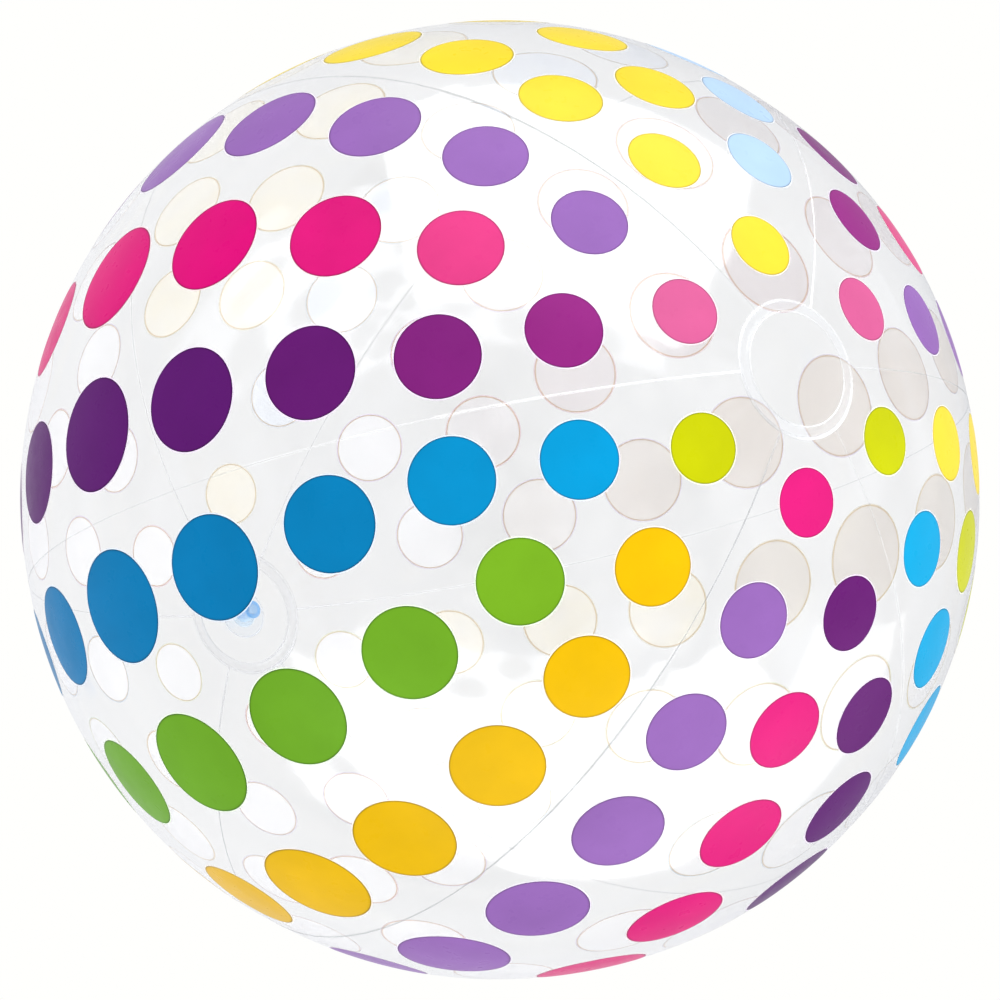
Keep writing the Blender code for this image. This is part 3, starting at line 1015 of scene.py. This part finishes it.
def make_strap(moulding):
    """The band that ties plug to stem. Its ends thicken inwards to meet them."""
    low, high = heights("plug_strap")
    half = STRAP_WIDTH / 2
    start, end = high - half, low + half
    points = []
    for i in range(STRAP_STEPS + 1):
        share = i / STRAP_STEPS
        turn = STRAP_TURNS[0] + (STRAP_TURNS[1] - STRAP_TURNS[0]) * share
        middle = start + (end - start) * share
        at_plug = max(0.0, 1 - share / STRAP_ENDS)
        at_stem = max(0.0, 1 - (1 - share) / STRAP_ENDS)
        inside = STRAP_INSIDE - at_plug * (STRAP_INSIDE - PLUG_RADIUS)
        inside -= at_stem * (STRAP_INSIDE - STEM_RADIUS)
        outside = STRAP_INSIDE + STRAP_THICKNESS
        corners = [(inside, middle - half), (outside, middle - half), (outside, middle + half)]
        section = rounded([*corners, (inside, middle + half)], 0.0003, steps=2)
        points += [(r * math.cos(turn), r * math.sin(turn), z) for r, z in section]
    columns = len(points) // (STRAP_STEPS + 1)
    faces = grid_faces(STRAP_STEPS + 1, columns, True).tolist()
    faces += [list(range(columns)), [STRAP_STEPS * columns + i for i in range(columns)]]
    strap = valve_object("tether_strap", points, faces, moulding)
    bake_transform(strap)
    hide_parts("plug_strap")


def make_flap(moulding, lug_moulding):
    """The non-return flap, with its tongue, and the lug on the collar that the tongue bends from."""
    low, high = heights("check_flap")
    half = FLAP_TONGUE / 2
    start = math.asin(half / FLAP_RADIUS)
    turns = np.linspace(start, 2 * math.pi - start, 72)
    outline = [(FLAP_RADIUS * math.cos(turn), FLAP_RADIUS * math.sin(turn)) for turn in turns]
    outline += [(FLAP_HINGE, -half), (FLAP_HINGE, half)]
    flap = extruded("flap_leaf", outline, low, high, moulding)
    on_body(flap, "flap", "clear_moulding", "check_flap")
    near, far = (FLAP_HINGE + reach for reach in LUG_REACH)
    lug = extruded("flap_lug", oblong(near, far, FLAP_TONGUE), low, high + 1.2 * FILM, lug_moulding)
    on_body(lug, "valve", "blue_moulding")


# --- Stage, light and camera ---

CAMERA_AZIMUTH = 76.3
CAMERA_ELEVATION = 50.7
CAMERA_ROLL = -66.16
CAMERA_DISTANCE = 10.25 * RADIUS
BALL_SHARE = 0.959  # the ball's radius as a share of half the picture
FLOOR_REACH = 60.0
FLOOR_DROP = 0.0265  # room under the ball for the plug when the valve is pulled right out


def camera_axes():
    """Unit vectors to the right, up and back from the picture, in the ball's frame."""
    azimuth, elevation = math.radians(CAMERA_AZIMUTH), math.radians(CAMERA_ELEVATION)
    level = math.cos(elevation)
    back = Vector((math.sin(azimuth) * level, -math.cos(azimuth) * level, math.sin(elevation)))
    right = Vector((0, 0, 1)).cross(back).normalized()
    up = back.cross(right)
    roll = math.radians(CAMERA_ROLL)
    rolled_up = up * math.cos(roll) + right * math.sin(roll)
    return rolled_up.cross(back), rolled_up, back


def facing(place, right, up, back):
    """A matrix with those axes at that place."""
    return Matrix.Translation(place) @ Matrix((right, up, back)).transposed().to_4x4()


def make_camera():
    right, up, back = camera_axes()
    data = bpy.data.cameras.new("camera")
    half_view = 1 / math.sqrt((CAMERA_DISTANCE / RADIUS) ** 2 - 1) / BALL_SHARE
    data.lens = data.sensor_width / 2 / half_view
    data.clip_end = 200
    camera = bpy.data.objects.new("camera", data)
    bpy.context.scene.collection.objects.link(camera)
    camera.matrix_world = facing(back * CAMERA_DISTANCE, right, up, back)
    bpy.context.scene.camera = camera


# The backdrop and floor glow evenly. What is seen, what lights the ball and what its gloss mirrors are set
# apart, as in a studio whose white backdrop is lit on its own and whose room behind the camera is dim.
SEEN_WHITE = (1.0, 1.0, 0.985)
SOFT_LIGHT = (1.45, 1.45, 1.45)
MIRRORED_DIM = (0.28, 0.29, 0.32)
MIRRORED_PALE = (0.62, 0.63, 0.66)
MIRRORED_POOL = (0.92, 0.93, 0.96)  # the pool of light on the floor round the ball
MIRRORED_POOL_EDGE = (0.8, 1.35)  # from the ball's axis, where the pool starts to fade and where it is gone
MIRRORED_CLOUDS = (0.0, 2.6)  # how much the dim room's brightness varies in broad patches

# Softboxes: name, direction as shares of the picture's right, up and back, distance, width, height, radiance
SHOWN_LIGHTS = (
    ("overhead", (0.2, 0.92, 0.27), 2.4, 2.8, 3.0, 4.0),
    ("low_wall", (0.0, -0.93, 0.25), 2.6, 7.4, 3.2, 3.0),
    ("low_right", (0.8, -0.6, -0.12), 3.0, 2.0, 1.6, 1.6),
)
FILL_LIGHTS = (
    ("upper_fill", (0.3, 0.9, 0.5), 4.0, 3.0, 3.0, 0.7),
    ("side_fill", (0.9, 0.0, 0.4), 4.0, 4.0, 4.0, 0.85),
)


def backdrop_colour(shader):
    """The glow of the backdrop. What the gloss mirrors of it is cloudy, and paler on one side."""
    place = shader.place("Generated")
    right, up, _ = camera_axes()
    pale_side = (right - up).normalized()
    along = shader.vector_maths("DOT_PRODUCT", "Value", input_0=place, input_1=pale_side)
    plain = shader.blend_colours(shader.ranged(along, -0.6, 0.8), MIRRORED_DIM, MIRRORED_PALE)
    cloudiness = shader.spread(shader.noise(2.2, detail=2.0, place=place), *MIRRORED_CLOUDS)
    return shader.glow(shader.vector_maths("SCALE", "Vector", input_0=plain, Scale=cloudiness))


def make_floor():
    """A glowing floor. It is open from below, so that the valve's end of the ball can be looked at."""
    low = cad_box[0].z - FLOOR_DROP
    reach = FLOOR_REACH
    corners = [(-reach, -reach, low), (reach, -reach, low), (reach, reach, low), (-reach, reach, low)]
    shader = Shader("lit_floor")
    across = shader.vector_maths("MULTIPLY", "Vector", input_0=shader.place(), input_1=(1, 1, 0))
    distance = shader.vector_maths("LENGTH", "Value", input_0=across)
    away = shader.ranged(distance, *MIRRORED_POOL_EDGE)
    colour = shader.glow(shader.blend_colours(away, MIRRORED_POOL, MIRRORED_PALE))
    glowing = shader.node("ShaderNodeEmission", Color=colour, Strength=1.0).outputs[0]
    open_below = shader.node("ShaderNodeBsdfTransparent").outputs[0]
    from_below = shader.node("ShaderNodeNewGeometry").outputs["Backfacing"]
    shader.finish(shader.mixed(from_below, glowing, open_below))
    shader.material.cycles.emission_sampling = "NONE"
    floor = make_object("floor", corners, [[0, 1, 2, 3]], [shader.material])


class WorldShader(Shader):
    """The same short way of adding nodes, for the world."""

    def __init__(self, world):
        world.use_nodes = True
        self.tree = world.node_tree


def make_world():
    world = bpy.data.worlds.new("studio")
    bpy.context.scene.world = world
    shader = WorldShader(world)
    world.cycles.sampling_method = "NONE"
    shader.put(shader.tree.nodes["Background"], "Color", backdrop_colour(shader))


def softbox(name, towards, distance, width, height, radiance, sideways):
    """A large soft light facing the ball's centre, its width running along sideways."""
    data = bpy.data.lights.new(name, "AREA")
    data.shape = "RECTANGLE"
    data.size, data.size_y = width, height
    data.energy = radiance * width * height * math.pi
    light = bpy.data.objects.new(name, data)
    bpy.context.scene.collection.objects.link(light)
    back = towards.normalized()
    across = (sideways - sideways.dot(back) * back).normalized()
    light.matrix_world = facing(back * distance, across, back.cross(across), back)
    light.visible_camera = False
    return light


def make_lights():
    """Softboxes that only the film's gloss shows, and gentle fills that only shade the ink."""
    right, up, back = camera_axes()
    for lights, hidden_from in ((SHOWN_LIGHTS, "visible_diffuse"), (FILL_LIGHTS, "visible_glossy")):
        for name, (rightwards, upwards, backwards), distance, width, height, radiance in lights:
            towards = right * rightwards + up * upwards + back * backwards
            sideways = right if upwards else up  # any axis that isn't near the light's own will do
            light = softbox(name, towards, distance, width, height, radiance, sideways)
            setattr(light, hidden_from, False)


# --- Building the scene ---


def make_ball():
    film = clear_plastic("clear_film", tint=(0.973, 0.974, 0.978), haze=0.012)
    disc_film = clear_plastic("disc_film", tint=(0.976, 0.977, 0.98), haze=0.016)
    weld = weld_plastic("seam_weld", least=0.06, most=0.95)
    make_panels(film)
    make_seams(weld)
    make_disc("end_film_plain", 1, 0.0, "end_disc_plain", disc_film)
    make_disc("end_film_valve", -1, VALVE_HOLE, "end_disc_valve", disc_film)
    ring_weld = weld_plastic("ring_weld", least=0.05, most=0.8)
    for round_weld in ROUND_WELDS:
        make_ring(*round_weld, ring_weld)
    make_dots()


def make_valve():
    clear = soft_moulding("clear_moulding", (0.84, 0.92, 0.97), clear_share=0.85)
    sleeve = soft_moulding("sleeve_moulding", (0.62, 0.82, 0.97), clear_share=0.95)
    pale_blue = soft_moulding("pale_blue_moulding", (0.36, 0.62, 0.90), clear_share=0.35)
    blue = soft_moulding("blue_moulding", (0.13, 0.44, 0.84), clear_share=0.2)
    make_patch(clear_plastic("patch_film", tint=(0.97, 0.98, 0.99), haze=0.05))
    make_flange(clear)
    make_web(sleeve)
    make_stem(blue)
    make_plug(blue)
    make_strap(blue)
    make_flap(pale_blue, blue)


make_ball()
make_valve()
make_floor()
make_world()
make_lights()
make_camera()
bpy.context.scene.view_settings.view_transform = "Standard"
bpy.context.scene.cycles.transparent_max_bounces = 32
